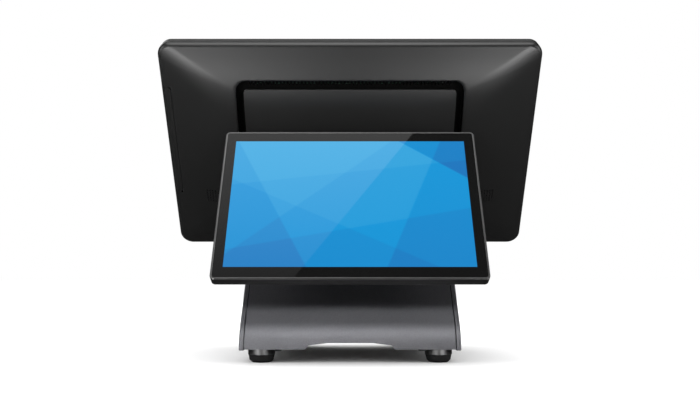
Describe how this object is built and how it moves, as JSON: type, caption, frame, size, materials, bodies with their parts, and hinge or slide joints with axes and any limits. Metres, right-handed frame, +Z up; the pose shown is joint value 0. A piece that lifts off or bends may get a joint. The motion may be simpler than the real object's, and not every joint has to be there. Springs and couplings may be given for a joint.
{
  "type": "pos touchscreen terminal",
  "caption": "Countertop point-of-sale terminal: operator touchscreen head on a wedge stand with a smaller tilted customer display behind it.",
  "frame": {"origin": "centre of the footprint of the whole object, on the counter plane", "axes": "+Z up, +Y towards the customer, the operator screen faces -Y, +X to the operator's right"},
  "size_m": [0.377, 0.2109, 0.3079],
  "materials": {
    "bezel_plastic": "fine textured",
    "screen_glass": "polished, black printed border",
    "black_rubber": "matte",
    "lcd_panel": "lit screen",
    "plated_steel": "zinc plated",
    "circuit_board": "solder mask",
    "brass_insert": "turned",
    "screw_steel": "zinc plated",
    "spring_steel": "oiled",
    "bare_aluminium": "extruded",
    "black_plastic": "moulded",
    "shell_plastic": "satin with fine texture",
    "connector_metal": "tinned",
    "black_steel": "powder coated",
    "stand_metallic": "dark metallic paint",
    "foot_metal": "anodised grey",
    "cast_arm": "powder coated",
    "bright_trim": "diamond-cut edge",
    "housing_plastic": "satin"
  },
  "bodies": {
    "stand": {"base_bottom_plate": "black_steel", "cable_grommet": "black_rubber", "base_rear_cover": "stand_metallic", "base_front_cover": "stand_metallic", "base_end_cap_left": "stand_metallic", "base_end_cap_right": "stand_metallic", "stand_spine": "plated_steel", "stand_spine_screws": "screw_steel", "head_hinge_shafts": "screw_steel", "head_hinge_washers": "spring_steel", "head_hinge_nuts": "screw_steel", "rear_foot_collars": "foot_metal", "rear_foot_pads": "black_rubber", "rear_foot_screws": "screw_steel", "front_foot_pads": "black_rubber", "front_foot_screws": "screw_steel", "underside_bumpers": "black_rubber", "power_supply": "black_plastic", "power_supply_strap": "plated_steel", "display_arm": "cast_arm", "display_arm_screws": "screw_steel"},
    "head": {"head_front_bezel": "bezel_plastic", "head_touch_glass": "screen_glass", "head_glass_gasket": "black_rubber", "head_lcd_panel": "lcd_panel", "head_chassis_plate": "plated_steel", "head_main_board": "circuit_board", "head_board_standoffs": "brass_insert", "head_board_screws": "screw_steel", "head_heat_spreader": "bare_aluminium", "solid_state_drive": "circuit_board", "head_speakers": "black_plastic", "head_rear_shell": "shell_plastic", "head_side_cover": "shell_plastic", "head_recess_pan": "black_plastic", "head_pan_screws": "screw_steel", "head_cable_cover": "shell_plastic", "head_port_board": "circuit_board", "head_port_blocks": "connector_metal", "head_hinge_bracket": "plated_steel", "head_bracket_screws": "screw_steel", "power_button_switch": "black_plastic"},
    "power_button": {"power_button": "bezel_plastic"},
    "customer_display": {"customer_display_hinge_bracket": "plated_steel", "customer_display_hinge_shaft": "screw_steel", "customer_display_hinge_washers": "spring_steel", "customer_display_bezel": "shell_plastic", "customer_display_edge_trim": "bright_trim", "customer_display_glass": "screen_glass", "customer_display_lcd_panel": "lcd_panel", "customer_display_rear_shell": "housing_plastic", "customer_display_bracket_screws": "screw_steel", "customer_display_standoffs": "brass_insert", "customer_display_board": "circuit_board"}
  },
  "joints": [
    {"name": "head_tilt", "type": "hinge", "parent": "stand", "child": "head", "pos_m": [0, -0.02437, 0.1552], "axis": [1, 0, 0], "range_deg": [-6, 20]},
    {"name": "customer_display_tilt", "type": "hinge", "parent": "stand", "child": "customer_display", "pos_m": [0, 0.04833, 0.109], "axis": [1, 0, 0], "range_deg": [-12, 8]},
    {"name": "power_press", "type": "slide", "parent": "head", "child": "power_button", "axis": [0, 0.575, 0.8181], "range_m": [0, 0.0006], "stiffness_N_per_m": 400}
  ]
}
